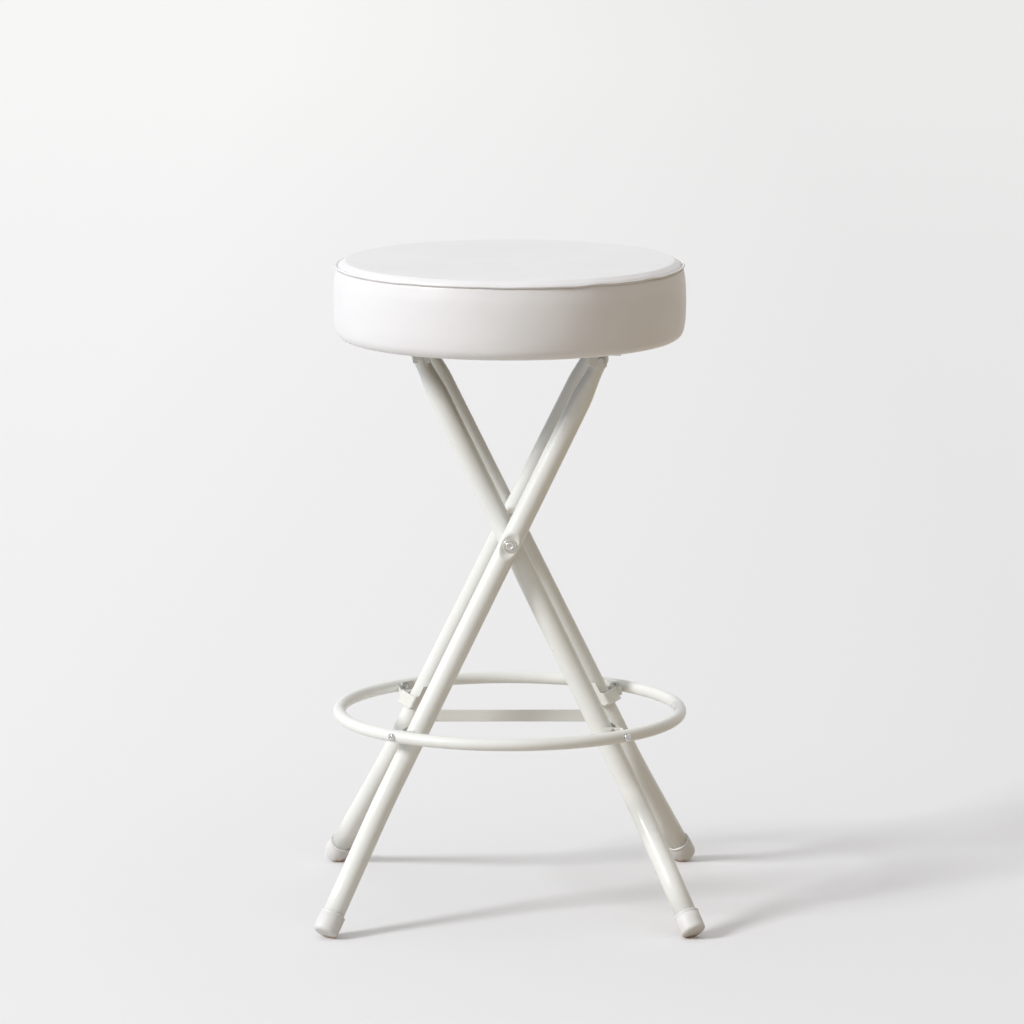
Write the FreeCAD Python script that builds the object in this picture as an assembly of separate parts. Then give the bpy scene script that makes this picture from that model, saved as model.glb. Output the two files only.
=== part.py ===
import FreeCAD, Part

import math
import os

from FreeCAD import Rotation, Vector

# Folding stool, modelled standing open. +Z is up, the floor is Z = 0 and the origin is the middle
# of the stool on the floor. Frame A leans from its feet at -X up to +X, and frame B the other way.
# Each frame has a front leg (-Y) and a back leg (+Y). Frame A's front leg and frame B's back leg
# are the outer legs at the crossings, and the other two are the inner legs.

# Leg tubes
leg_diameter = 22.2
leg_wall = 1.2
leg_lean = 26.0  # degrees from upright, seen from the front
pivot_height = 391.0
inner_pivot_depth = 68.1  # inner legs' centre from the middle, at the crossing
inner_splay = 4.64  # degrees that the legs spread front to back as they go down
outer_splay = 3.19
knee_height = 125.0  # the legs kick out below this height
knee_bend_radius = 110.0
foot_depth = 185.0  # where the legs' centre lines meet the floor

# Pinched upper ends of the legs, which the top rods run through
top_rod_height = 581.0
pinch_length = 42.0  # run from round to pinched
pinch_straight = 9.0  # pinched run below the rod
pinch_thickness = 16.0
pinch_width = 26.0

# Pressed dimples and rivets at the crossings
dimple_depth = 5.0
dimple_flat_length = 22.0
dimple_flat_width = 16.0
dimple_mouth_length = 38.0
dimple_mouth_width = 32.0
dimple_overshoot = 3.0  # press tool past the surface, which the splay tilts out of its plane
pivot_gap = 1.6  # between the crossing tubes, which aren't parallel to the washer
washer_thickness = 0.5
washer_diameter = 11.0
rivet_diameter = 8.0
rivet_head_diameter = 14.0
rivet_head_height = 3.0
rivet_socket_diameter = 5.6
rivet_socket_depth = 1.8

# Foot caps
cap_rim_diameter = 26.4
cap_foot_diameter = 25.8
cap_length = 22.5
cap_bottom = 3.0
cap_edge_round = 3.0
cap_rim_round = 1.0
cap_floor_flat = 0.8  # depth that is worn flat where the cap stands on its edge

# Foot ring
ring_height = 200.5
ring_radius = 177.0
ring_tube_diameter = 12.8
ring_tube_wall = 1.2
ring_screw_angle = 49.3  # degrees round from the X axis
ring_screw_diameter = 4.4
ring_screw_head_diameter = 8.2
ring_screw_head_height = 2.4
ring_nut_size = 7.0
ring_nut_height = 2.4
ring_tab_gap = 0.3  # the flat tab inside the curved tube

# Sheet-metal ring brackets on the legs and tabs on the ring
sheet = 1.6
bracket_height = 24.0
bracket_front_reach = 3.5  # inward past the leg, at the front
bracket_back_reach = 12.0
bracket_outer_reach = 21.0
bracket_touch = 0.05  # between the flat plate and the round leg
ear_gap = 2.2
ear_inboard = 9.0
ear_outboard = 7.0
ear_rise = 7.0  # above the hinge
ear_drop = 5.2  # below the hinge
ring_hinge_reach = 13.1  # outboard of the leg's centre
ring_hinge_drop = 5.0  # below the ring's centre
hinge_pin_diameter = 6.0
hinge_head_diameter = 9.0
hinge_head_height = 2.0
tab_drop = 7.5  # fold and foot, below the ring's centre
tab_rise = 5.0  # foot, above the ring's centre
tab_reach = 7.5
tab_foot = 9.0  # half length of the foot along the ring
tab_foot_start = 5.0  # where the foot's taller plate starts
tab_elbow_reach = 8.5  # outboard of the hinge
bend_radius = 2.4
ring_notch_angle = 59.0  # degrees above level that frame B's ears open at

# Stay bar between the front legs
stay_rise = 5.5  # above the ring's centre
stay_depth = 53.5
stay_thickness = 2.5
stay_width = 12.0
stay_pin_diameter = 6.0
stay_sleeve_diameter = 10.0
stay_head_height = 1.5
stay_notch_angle = 241.0

# Seat
seat_radius = 180.0
seat_bottom = 591.5
seat_seam_height = 666.5
seat_seam_inset = 2.0
seat_waist_inset = 1.2
seat_corner_radius = 11.0
seat_shoulder = 10.0
seat_shoulder_rise = 4.0
seat_crown = 2.5
welt_diameter = 3.2
board_inset = 15.0
board_thickness = 12.0
cover_inset = 5.0
cover_thickness = 0.6

# Seat brackets under the board
seat_bracket_reach = 20.0  # either side of the rod
seat_ear_inboard = 11.7
seat_ear_outboard = 5.8
seat_ear_drop = 6.5
seat_ear_gap = 1.0  # from the pinched leg
seat_bracket_bend = 3.0
seat_notch_angle = 298.0
seat_screw_diameter = 4.8
seat_screw_head_diameter = 9.0
seat_screw_head_height = 2.4
seat_screw_length = 11.0
seat_screw_offset = 13.0
seat_screw_far = 45.0  # depth of the two screws near the outer leg
seat_screw_near = 20.0

# Rods that carry the seat
top_rod_diameter = 7.0
top_rod_proud = 0.6

# Clearances
running = 0.05  # radial clearance of a pin that turns in a hole
tight = 0.02  # radial clearance of a pin that is fixed in a hole
side_gap = 0.3  # gap between faces that slide past each other

X = Vector(1, 0, 0)
Y = Vector(0, 1, 0)
Z = Vector(0, 0, 1)

leg_radius = leg_diameter / 2
lean = math.tan(math.radians(leg_lean))
outer_pivot_depth = inner_pivot_depth + leg_diameter + pivot_gap
sheet_half = sheet / 2
ring_hinge_height = ring_height - ring_hinge_drop
ring_hinge_offset = lean * (pivot_height - ring_height) + ring_hinge_reach
tab_elbow = ring_hinge_offset + tab_elbow_reach
stay_height = ring_height + stay_rise
board_radius = seat_radius - board_inset
cover_radius = board_radius - cover_inset


def unit(vector):
    return Vector(vector).normalize()


def frame_x(side, height):
    """Where a frame's plane is at a height; side is the side that its feet are on."""
    return side * lean * (pivot_height - height)


def leg_depth(outer, height):
    """How far a leg's centre line is from the middle, at a height above its knee."""
    start = outer_pivot_depth if outer else inner_pivot_depth
    splay = outer_splay if outer else inner_splay
    return start + (pivot_height - height) * math.tan(math.radians(splay))


def is_outer(side, front):
    return side * front > 0


def leg_point(side, front, height):
    depth = leg_depth(is_outer(side, front), height)
    return Vector(frame_x(side, height), front * depth, height)


def disc_prism(centre, direction, radius, length):
    return Part.makeCylinder(radius, length, centre, direction)


def oval(centre, wide, narrow, half_width, half_thickness):
    """Closed oval wire with its wide half along one vector and its narrow half along another."""
    edge = Part.Ellipse(centre + wide * half_width, centre + narrow * half_thickness, centre)
    return Part.Wire(edge.toShape())


class LegAxis:
    """Centre line of a leg: foot, knee bend, straight upper run and the direction of each."""

    def __init__(self, side, front):
        foot = Vector(frame_x(side, 0), front * foot_depth, 0)
        knee = leg_point(side, front, knee_height)
        self.rod = leg_point(side, front, top_rod_height)
        self.lower = unit(knee - foot)
        self.upper = unit(self.rod - knee)
        turn = self.lower.getAngle(self.upper)
        tangent = knee_bend_radius * math.tan(turn / 2)
        self.bend_start = knee - self.lower * tangent
        self.bend_end = knee + self.upper * tangent
        self.bend_turn = math.degrees(turn)
        self.bend_axis = unit(self.lower.cross(self.upper))
        self.bend_centre = self.bend_start + self.bend_axis.cross(self.lower) * knee_bend_radius
        self.across = unit(Y.cross(self.upper))
        self.along = unit(self.upper.cross(self.across))
        tilt = self.lower.getAngle(Z)
        edge = cap_foot_diameter / 2 - cap_edge_round
        drop = edge * math.sin(tilt) + cap_edge_round * (1 - math.cos(tilt))
        height = drop - cap_floor_flat
        self.cap_end = foot + self.lower * (height / math.cos(tilt))
        self.tube_end = self.cap_end + self.lower * cap_bottom


def pinched_end(axis, inset):
    """Upper end of a leg, which goes from round to oval below the rod and stays oval past it."""
    radius = leg_radius - inset
    half_width = pinch_width / 2 - inset
    half_thickness = pinch_thickness / 2 - inset
    low = -pinch_length - pinch_straight
    round_wire = Part.Wire(Part.makeCircle(radius, Vector(0, 0, low)))
    centre = Vector(0, 0, -pinch_straight)
    oval_wire = oval(centre, X, Y, half_width, half_thickness)
    taper = Part.makeLoft([round_wire, oval_wire], True, True)
    tip_length = pinch_straight + pinch_thickness / 2 + inset
    tip = Part.Face(oval_wire).extrude(Z * tip_length)
    end = taper.fuse(tip)
    turn = Rotation(axis.along, Vector(0, 0, 0), axis.upper, "ZXY")
    end.Placement = FreeCAD.Placement(axis.rod, turn)
    return end


def leg_body(axis, inset):
    """Solid round bar along the leg with a pinched upper end; inset shrinks it by the wall."""
    radius = leg_radius - inset
    start = axis.tube_end - axis.lower * inset
    pinch_start = axis.rod - axis.upper * (pinch_length + pinch_straight)
    lower = disc_prism(start, axis.lower, radius, (axis.bend_start - start).Length)
    section = Part.Face(Part.Wire(Part.Circle(axis.bend_start, axis.lower, radius).toShape()))
    bend = section.revolve(axis.bend_centre, axis.bend_axis, axis.bend_turn)
    upper = disc_prism(axis.bend_end, axis.upper, radius, (pinch_start - axis.bend_end).Length)
    return lower.fuse([bend, upper, pinched_end(axis, inset)])


def dimple_tool(side, front, toward, inset):
    """Oval press tool that flattens one face of a leg square to the rivet; toward is its Y direction."""
    axis = LegAxis(side, front)
    centre = leg_point(side, front, pivot_height)
    bottom = centre + Y * (toward * (leg_radius - dimple_depth - inset))
    top = centre + Y * (toward * (leg_radius + dimple_overshoot - inset))
    flare = dimple_overshoot / dimple_depth
    length = dimple_mouth_length + (dimple_mouth_length - dimple_flat_length) * flare
    width = dimple_mouth_width + (dimple_mouth_width - dimple_flat_width) * flare
    along = unit(Vector(axis.upper.x, 0, axis.upper.z))
    across = unit(Y.cross(along))
    small = oval(bottom, along, across, dimple_flat_length / 2, dimple_flat_width / 2)
    large = oval(top, along, across, length / 2, width / 2)
    return Part.makeLoft([small, large], True, True)


def end_rounding(axis):
    """Everything past the rod that lies outside a round end about the rod."""
    size = 60
    turn = Rotation(Z, axis.upper)
    block = Part.makeBox(size, size, size, Vector(-size / 2, -size / 2, 0))
    block.Placement = FreeCAD.Placement(axis.rod, turn).multiply(block.Placement)
    end = disc_prism(axis.rod - Y * size, Y, pinch_thickness / 2, size * 2)
    return block.cut(end)


def make_leg(side, front):
    axis = LegAxis(side, front)
    rivet_turns = side > 0
    shell = leg_body(axis, 0)
    core = leg_body(axis, leg_wall)
    outward = front if is_outer(side, front) else -front
    shell = shell.cut(dimple_tool(side, front, outward, 0))
    core = core.cut(dimple_tool(side, front, outward, leg_wall))
    leg = shell.cut(core).cut(end_rounding(axis))
    pivot = leg_point(side, front, pivot_height)
    clearance = running if rivet_turns else tight
    hole = disc_prism(pivot - Y * leg_diameter, Y, rivet_diameter / 2 + clearance, leg_diameter * 2)
    rod_hole = disc_prism(axis.rod - Y * leg_diameter, Y, top_rod_diameter / 2 + tight, leg_diameter * 2)
    return leg.cut([hole, rod_hole])


def make_foot_cap(side, front):
    """Ferrule round the leg's lower end, square to it, that stands on its inner edge."""
    axis = LegAxis(side, front)
    rim = cap_rim_diameter / 2
    foot = cap_foot_diameter / 2
    profile = Part.makePolygon([
        Vector(0, 0, 0),
        Vector(foot, 0, 0),
        Vector(rim, 0, cap_length),
        Vector(leg_radius, 0, cap_length),
        Vector(leg_radius, 0, cap_bottom),
        Vector(0, 0, cap_bottom),
        Vector(0, 0, 0),
    ])
    cap = Part.Face(profile).revolve(Vector(0, 0, 0), Z, 360)
    circles = [edge for edge in cap.Edges if isinstance(edge.Curve, Part.Circle)]
    lower = [edge for edge in circles if abs(edge.Curve.Radius - foot) < 0.01]
    cap = cap.makeFillet(cap_edge_round, lower[:1])
    circles = [edge for edge in cap.Edges if isinstance(edge.Curve, Part.Circle)]
    upper = [edge for edge in circles if abs(edge.Curve.Radius - rim) < 0.01]
    cap = cap.makeFillet(cap_rim_round, upper[:1])
    cap.Placement = FreeCAD.Placement(axis.cap_end, Rotation(Z, axis.lower))
    below = Part.makeBox(80, 80, 20, Vector(axis.cap_end.x - 40, axis.cap_end.y - 40, -20))
    return cap.cut(below)


def headed_pin(start, end, radius, head_radius, head, tail_radius, tail):
    """Pin from start to end with a head outside each end."""
    direction = unit(end - start)
    length = (end - start).Length
    pin = disc_prism(start, direction, radius, length)
    parts = [disc_prism(start - direction * head, direction, head_radius, head)]
    parts.append(disc_prism(end, direction, tail_radius, tail))
    return pin.fuse(parts).removeSplitter()


def make_pivot_rivet(front):
    outer_centre = Vector(0, front * outer_pivot_depth, pivot_height)
    inner_centre = Vector(0, front * inner_pivot_depth, pivot_height)
    seat = leg_radius - dimple_depth
    outer_is_b = is_outer(1, front)
    head_gap = side_gap if outer_is_b else 0
    tail_gap = 0 if outer_is_b else side_gap
    start = outer_centre + Y * (front * (seat + head_gap))
    end = inner_centre - Y * (front * (seat + tail_gap))
    head_radius = rivet_head_diameter / 2
    rivet = headed_pin(start, end, rivet_diameter / 2, head_radius, rivet_head_height,
                       head_radius, rivet_head_height)
    socket = disc_prism(start + Y * (front * rivet_head_height), Y * -front,
                        rivet_socket_diameter / 2, rivet_socket_depth)
    return rivet.cut(socket)


def make_pivot_washer(front):
    """Thin washer between the crossing legs."""
    depth = inner_pivot_depth + leg_radius + (pivot_gap - washer_thickness) / 2
    inside = Vector(0, front * depth, pivot_height)
    washer = disc_prism(inside, Y * front, washer_diameter / 2, washer_thickness)
    return washer.cut(disc_prism(inside, Y * front, rivet_diameter / 2 + running, washer_thickness))


def make_top_rod(side):
    """Rod across the top of a frame, through both legs and both ears of a seat bracket."""
    ends = [seat_ear_depth(side, front) + sheet + top_rod_proud for front in (-1, 1)]
    start = Vector(frame_x(side, top_rod_height), -ends[0], top_rod_height)
    return disc_prism(start, Y, top_rod_diameter / 2, ends[0] + ends[1])


def seat_ear_depth(side, front):
    """Inner face of a seat bracket's ear, just outside the pinched end of the leg."""
    return leg_depth(is_outer(side, front), top_rod_height) + pinch_width / 2 + seat_ear_gap


def bent_strip(points, radius):
    """Flat face of a sheet seen edge on: a polyline in plan with rounded corners and a thickness."""
    edges = []
    start = points[0]
    for before, corner, after in zip(points, points[1:], points[2:]):
        first = unit(corner - before)
        second = unit(after - corner)
        turn = first.getAngle(second)
        reach = radius * math.tan(turn / 2)
        rise = radius / math.cos(turn / 2) - radius
        arc_start = corner - first * reach
        arc_end = corner + second * reach
        middle = corner + unit(second - first) * rise
        edges.append(Part.makeLine(start, arc_start))
        edges.append(Part.Arc(arc_start, middle, arc_end).toShape())
        start = arc_end
    edges.append(Part.makeLine(start, points[-1]))
    return Part.Wire(edges).makeOffset2D(sheet_half, 0, True, True, False)


def straight_strip(start, end):
    """Flat face of a straight run of sheet seen edge on."""
    side = unit(Z.cross(end - start)) * sheet_half
    return Part.Face(Part.makePolygon([start - side, end - side, end + side, start + side, start - side]))


def raised(profile, bottom, top, slope):
    """Profile drawn at the ring's height, extruded between two heights along a slope."""
    moved = profile.translated(slope * (bottom - ring_height))
    return moved.extrude(slope * (top - bottom))


def place_quarter(shape, side, front):
    """Mirror a shape from the +X, +Y quarter to the quarter that side and front name."""
    if side < 0:
        shape = shape.mirror(Vector(0, 0, 0), X)
    if front < 0:
        shape = shape.mirror(Vector(0, 0, 0), Y)
    return shape


ring_outward = Vector(math.cos(math.radians(ring_screw_angle)), math.sin(math.radians(ring_screw_angle)), 0)
ring_along = Vector(ring_outward.y, -ring_outward.x, 0)


def ring_leg_centre(outer):
    """Leg's centre at the ring's height, in the +X, +Y quarter."""
    return Vector(lean * (pivot_height - ring_height), leg_depth(outer, ring_height), ring_height)


def ring_ear_depth(outer):
    """Middle of the bracket's ear, just past the leg's far side."""
    return leg_depth(outer, ring_height) + leg_radius + ear_gap + sheet_half


def bracket_middle(outer):
    """Middle of the bracket's plate, touching the leg on the side that faces the stool's middle."""
    half_x = leg_radius / math.cos(math.radians(leg_lean))
    reach = math.hypot(half_x * ring_outward.x, leg_radius * ring_outward.y)
    splay = outer_splay if outer else inner_splay
    slack = bracket_height / 2 * math.tan(math.radians(splay)) * ring_outward.y + bracket_touch
    return ring_leg_centre(outer) - ring_outward * (reach + slack + sheet_half)


def stay_sleeve(side, radius):
    """Round bar from a front leg's centre line back to the stay bar."""
    start = leg_point(side, -1, stay_height)
    length = -start.y - (stay_depth + stay_thickness + side_gap)
    return disc_prism(start, Y, radius, length)


def make_ring_bracket(side, front):
    """Bent plate that wraps a leg from inside and ends in an ear beside the ring's tab."""
    outer = is_outer(side, front)
    middle = bracket_middle(outer)
    ear_depth = ring_ear_depth(outer)
    corner = middle + ring_along * bracket_outer_reach
    ear_corner = Vector(ring_hinge_offset + ear_outboard, ear_depth, ring_height)
    ear_end = Vector(ring_hinge_offset - ear_inboard, ear_depth, ring_height)
    reach = bracket_front_reach if front < 0 else bracket_back_reach
    start = middle - ring_along * reach
    slope = Vector(-lean, 0, 1)
    half = bracket_height / 2
    plate = straight_strip(start - ring_along * sheet_half, corner - ring_along * (2 * bend_radius))
    plate = raised(plate, ring_height - half, ring_height + half, slope)
    tongue = bent_strip([start, corner, ear_corner, ear_end], bend_radius)
    tongue = raised(tongue, ring_hinge_height - ear_drop, ring_hinge_height + ear_rise, slope)
    bracket = plate.fuse(tongue).removeSplitter()
    pin_radius = hinge_pin_diameter / 2
    pin_start = Vector(ring_hinge_offset, ear_depth - sheet, ring_hinge_height)
    clearance = tight if side < 0 else running
    opening = disc_prism(pin_start, Y, pin_radius + clearance, sheet * 2)
    if side > 0:
        notch = open_slot(pin_start, sheet * 2, pin_radius + clearance, ring_notch_angle, 30)
        opening = opening.fuse(notch)
    bracket = place_quarter(bracket.cut(opening), side, front)
    if front < 0:
        bracket = bracket.cut(stay_sleeve(side, stay_sleeve_diameter / 2 + tight))
    return bracket


def open_slot(start, depth, half_width, angle, length):
    """Straight slot that runs from a pin in the XZ plane at an angle from +X."""
    direction = math.radians(angle)
    along = Vector(math.cos(direction), 0, math.sin(direction))
    across = Vector(-along.z, 0, along.x) * half_width
    end = start + along * length
    corners = [start - across, end - across, end + across, start + across, start - across]
    return Part.Face(Part.makePolygon(corners)).extrude(Y * depth)


def ring_tab_depth(outer):
    return ring_ear_depth(outer) + sheet + side_gap


def tab_screw_point():
    """Middle of a ring tab's foot, against the inside of the ring."""
    reach = ring_radius - ring_tube_diameter / 2 - ring_tab_gap - sheet_half
    return Vector(ring_outward.x * reach, ring_outward.y * reach, ring_height)


def make_ring_tab(side, front):
    """Bent tab that is screwed to the inside of the ring and carries the hinge pin or stud."""
    outer = is_outer(side, front)
    depth = ring_tab_depth(outer)
    foot = tab_screw_point()
    foot_start = foot + ring_along * tab_foot
    foot_end = foot - ring_along * tab_foot
    first = Vector(ring_hinge_offset - tab_reach, depth, ring_height)
    if foot_start.y > depth + 2 * bend_radius:
        points = [first, Vector(tab_elbow, depth, ring_height), foot_start, foot_end]
    else:
        corner = foot + ring_along * ((foot.y - depth) / -ring_along.y)
        points = [first, corner, foot_end]
    ear_top = ring_hinge_height + ear_rise
    fold_bottom = ring_height - tab_drop
    fold = raised(bent_strip(points, bend_radius), fold_bottom, ear_top, Z)
    ear_end = points[1] - X * (4 * bend_radius)
    ear = raised(straight_strip(first - X * sheet_half, ear_end), ring_hinge_height - ear_drop, ear_top, Z)
    foot_plate = straight_strip(foot + ring_along * tab_foot_start, foot_end - ring_along * sheet_half)
    foot_plate = raised(foot_plate, fold_bottom, ring_height + tab_rise, Z)
    tab = fold.fuse([ear, foot_plate]).removeSplitter()
    pin_start = Vector(ring_hinge_offset, depth - sheet, ring_hinge_height)
    clearance = running if side < 0 else tight
    pin_hole = disc_prism(pin_start, Y, hinge_pin_diameter / 2 + clearance, sheet * 2)
    screw_hole = disc_prism(foot - ring_outward * 4, ring_outward, ring_screw_diameter / 2 + tight, 8)
    return place_quarter(tab.cut([pin_hole, screw_hole]), side, front)


def make_hinge_pin(front):
    """Headed pin that is fixed in frame A's ear and runs in the ring's tab."""
    outer = is_outer(-1, front)
    start = Vector(ring_hinge_offset, ring_ear_depth(outer) - sheet_half, ring_hinge_height)
    end = Vector(ring_hinge_offset, ring_tab_depth(outer) + sheet_half + side_gap, ring_hinge_height)
    head = hinge_head_diameter / 2
    pin = headed_pin(start, end, hinge_pin_diameter / 2, head, hinge_head_height, head, hinge_head_height)
    return place_quarter(pin, -1, front)


def make_rest_stud(front):
    """Stud on the ring's tab that drops into the notch of frame B's ear."""
    outer = is_outer(1, front)
    depth = ring_ear_depth(outer) - sheet_half
    start = Vector(ring_hinge_offset, depth, ring_hinge_height)
    face = ring_tab_depth(outer) + sheet_half
    stud = disc_prism(start, Y, hinge_pin_diameter / 2, face - depth)
    head = disc_prism(start + Y * (face - depth), Y, hinge_head_diameter / 2, hinge_head_height)
    return place_quarter(stud.fuse(head).removeSplitter(), 1, front)


def make_ring():
    outer = Part.makeTorus(ring_radius, ring_tube_diameter / 2)
    inner = Part.makeTorus(ring_radius, ring_tube_diameter / 2 - ring_tube_wall)
    ring = outer.cut(inner)
    ring.translate(Z * ring_height)
    holes = []
    for side in (-1, 1):
        for front in (-1, 1):
            hole = disc_prism(tab_screw_point(), ring_outward, ring_screw_diameter / 2 + tight, 30)
            holes.append(place_quarter(hole, side, front))
    return ring.cut(holes)


def make_ring_screw(side, front):
    foot = tab_screw_point()
    reach = sheet_half + ring_tab_gap + ring_tube_diameter
    start = foot - ring_outward * (sheet_half + ring_nut_height + 0.8)
    head_at = foot + ring_outward * reach
    shank = disc_prism(start, ring_outward, ring_screw_diameter / 2, (head_at - start).Length)
    head = disc_prism(head_at, ring_outward, ring_screw_head_diameter / 2, ring_screw_head_height)
    return place_quarter(shank.fuse(head).removeSplitter(), side, front)


def make_ring_nut(side, front):
    foot = tab_screw_point() - ring_outward * (sheet_half + ring_nut_height)
    radius = ring_nut_size / 2 / math.cos(math.pi / 6)
    corners = []
    for step in range(7):
        angle = step * math.pi / 3
        corners.append(foot + ring_along * (radius * math.cos(angle)) + Z * (radius * math.sin(angle)))
    nut = Part.Face(Part.makePolygon(corners)).extrude(ring_outward * ring_nut_height)
    hole = disc_prism(foot, ring_outward, ring_screw_diameter / 2 + tight, ring_nut_height)
    return place_quarter(nut.cut(hole), side, front)


def make_stay_bar():
    """Flat stay pinned to frame A and hooked over a stud on frame B by a notch that opens downward."""
    half_span = lean * (pivot_height - stay_height)
    radius = stay_width / 2
    back = -stay_depth
    start = Vector(-half_span, back, stay_height)
    end = Vector(half_span, back, stay_height)
    bar = Part.makeBox(2 * half_span, stay_thickness, stay_width,
                       Vector(-half_span, back - stay_thickness, stay_height - radius))
    ends = [disc_prism(point, -Y, radius, stay_thickness) for point in (start, end)]
    bar = bar.fuse(ends).removeSplitter()
    pin_radius = stay_pin_diameter / 2 + running
    notch_start = end - Y * (stay_thickness + 1)
    notch = open_slot(notch_start, stay_thickness + 2, pin_radius, stay_notch_angle, 20)
    holes = [disc_prism(point - Y * (stay_thickness + 1), Y, pin_radius, stay_thickness + 2)
             for point in (start, end)]
    return bar.cut(holes + [notch])


def make_stay_stud(side):
    """Shouldered stud from a front leg back through the stay bar, with a head behind the bar."""
    sleeve = stay_sleeve(side, stay_sleeve_diameter / 2).cut(leg_body(LegAxis(side, -1), 0))
    sleeve = min(sleeve.Solids, key=lambda solid: -solid.CenterOfMass.y)
    start = leg_point(side, -1, stay_height)
    pin_length = stay_thickness + 2 * side_gap
    pin_start = Vector(start.x, -(stay_depth + stay_thickness + side_gap), stay_height)
    pin = disc_prism(pin_start, Y, stay_pin_diameter / 2, pin_length)
    head = disc_prism(pin_start + Y * pin_length, Y, stay_sleeve_diameter / 2, stay_head_height)
    return sleeve.fuse([pin, head]).removeSplitter()


def seat_outline():
    """Half section of the cushion: drawn-in side, seam, rounded shoulder and low crown."""
    waist = seat_radius - seat_waist_inset
    seam = seat_radius - seat_seam_inset
    bottom_arc_x = waist - seat_corner_radius
    corner_mid = seat_corner_radius * (1 - math.sin(math.pi / 4))
    side_start = Vector(waist, 0, seat_bottom + seat_corner_radius)
    side_middle = Vector(seat_radius, 0, (seat_bottom + seat_seam_height) / 2)
    side_end = Vector(seam, 0, seat_seam_height)
    shoulder_end = Vector(seam - seat_shoulder, 0, seat_seam_height + seat_shoulder_rise)
    shoulder_mid = Vector(seam - seat_shoulder * 0.3, 0, seat_seam_height + seat_shoulder_rise * 0.72)
    top = Vector(0, 0, seat_seam_height + seat_shoulder_rise + seat_crown)
    crown_radius = (shoulder_end.x ** 2 + seat_crown ** 2) / (2 * seat_crown)
    half_reach = shoulder_end.x / 2
    crown_mid = Vector(half_reach, 0, top.z - crown_radius + math.sqrt(crown_radius ** 2 - half_reach ** 2))
    return Part.Wire([
        Part.makeLine(Vector(0, 0, seat_bottom), Vector(bottom_arc_x, 0, seat_bottom)),
        Part.Arc(Vector(bottom_arc_x, 0, seat_bottom),
                 Vector(waist - corner_mid, 0, seat_bottom + corner_mid), side_start).toShape(),
        Part.Arc(side_start, side_middle, side_end).toShape(),
        Part.Arc(side_end, shoulder_mid, shoulder_end).toShape(),
        Part.Arc(shoulder_end, crown_mid, top).toShape(),
        Part.makeLine(top, Vector(0, 0, seat_bottom)),
    ])


def make_seat_cushion():
    """Crowned cushion with a pocket for the board and a groove round the seam for the welt."""
    cushion = Part.Face(seat_outline()).revolve(Vector(0, 0, 0), Z, 360)
    pocket = disc_prism(Vector(0, 0, seat_bottom), Z, board_radius, board_thickness)
    return cushion.cut([pocket, make_seat_welt()])


def make_seat_welt():
    welt = Part.makeTorus(seat_radius - seat_seam_inset, welt_diameter / 2)
    welt.translate(Z * seat_seam_height)
    return welt


def make_seat_board():
    return disc_prism(Vector(0, 0, seat_bottom), Z, board_radius, board_thickness).cut(all_screw_holes())


def make_underside_cover():
    cover = disc_prism(Vector(0, 0, seat_bottom), -Z, cover_radius, cover_thickness)
    return cover.cut(all_screw_holes())


def make_seat_bracket(side):
    """Sheet bracket under the board with an ear outside each leg of a frame."""
    web = seat_bottom - cover_thickness - sheet_half
    bottom = top_rod_height - seat_ear_drop
    front_depth = -(seat_ear_depth(side, -1) + sheet_half)
    back_depth = seat_ear_depth(side, 1) + sheet_half
    points = [Vector(0, front_depth, bottom), Vector(0, front_depth, web),
              Vector(0, back_depth, web), Vector(0, back_depth, bottom)]
    rod = abs(frame_x(side, top_rod_height))
    profile = bent_strip(points, seat_bracket_bend)
    profile.translate(X * (rod - seat_bracket_reach))
    bracket = profile.extrude(X * (2 * seat_bracket_reach))
    below = bottom - 1
    rise = web - sheet_half - seat_bracket_bend - below
    front = front_depth - sheet
    span = back_depth + sheet - front
    inboard = Part.makeBox(seat_bracket_reach, span, rise,
                           Vector(rod - seat_ear_inboard - seat_bracket_reach, front, below))
    outboard = Part.makeBox(seat_bracket_reach, span, rise, Vector(rod + seat_ear_outboard, front, below))
    pin = Vector(rod, front, top_rod_height)
    radius = top_rod_diameter / 2 + running
    cutters = [inboard, outboard, disc_prism(pin, Y, radius, span)]
    if side > 0:
        cutters.append(open_slot(pin, span, radius, 540 - seat_notch_angle, seat_bracket_reach))
    bracket = bracket.cut(cutters)
    if side > 0:
        bracket = bracket.mirror(Vector(0, 0, 0), X)
    return bracket.cut(screw_holes(side)).removeSplitter()


def screw_places(side):
    """Where the four screws of a seat bracket are, clear of both legs."""
    rod = frame_x(side, top_rod_height)
    face = seat_bottom - cover_thickness - sheet
    depths = (side * seat_screw_far, -side * seat_screw_near)
    return [Vector(rod + offset, depth, face)
            for offset in (-seat_screw_offset, seat_screw_offset) for depth in depths]


def screw_holes(side):
    return [disc_prism(at, Z, seat_screw_diameter / 2 + tight, seat_screw_length) for at in screw_places(side)]


def seat_screws(side):
    """Four pan-head screws through a seat bracket's web into the board."""
    screws = []
    for at in screw_places(side):
        shank = disc_prism(at, Z, seat_screw_diameter / 2, seat_screw_length)
        head = disc_prism(at, -Z, seat_screw_head_diameter / 2, seat_screw_head_height)
        rim = [edge for edge in head.Edges if edge.BoundBox.ZMax < at.z - seat_screw_head_height + 0.01]
        head = head.makeFillet(seat_screw_head_height * 0.6, rim)
        screws.append(shank.fuse(head).removeSplitter())
    return screws


def all_screw_holes():
    return screw_holes(-1) + screw_holes(1)


def export(name, shape):
    if isinstance(shape, (list, tuple)):
        shape = Part.makeCompound(shape)
    shape.exportStep("parts/" + name + ".step")


def both(make, side):
    return [make(side, front) for front in (-1, 1)]


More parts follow.
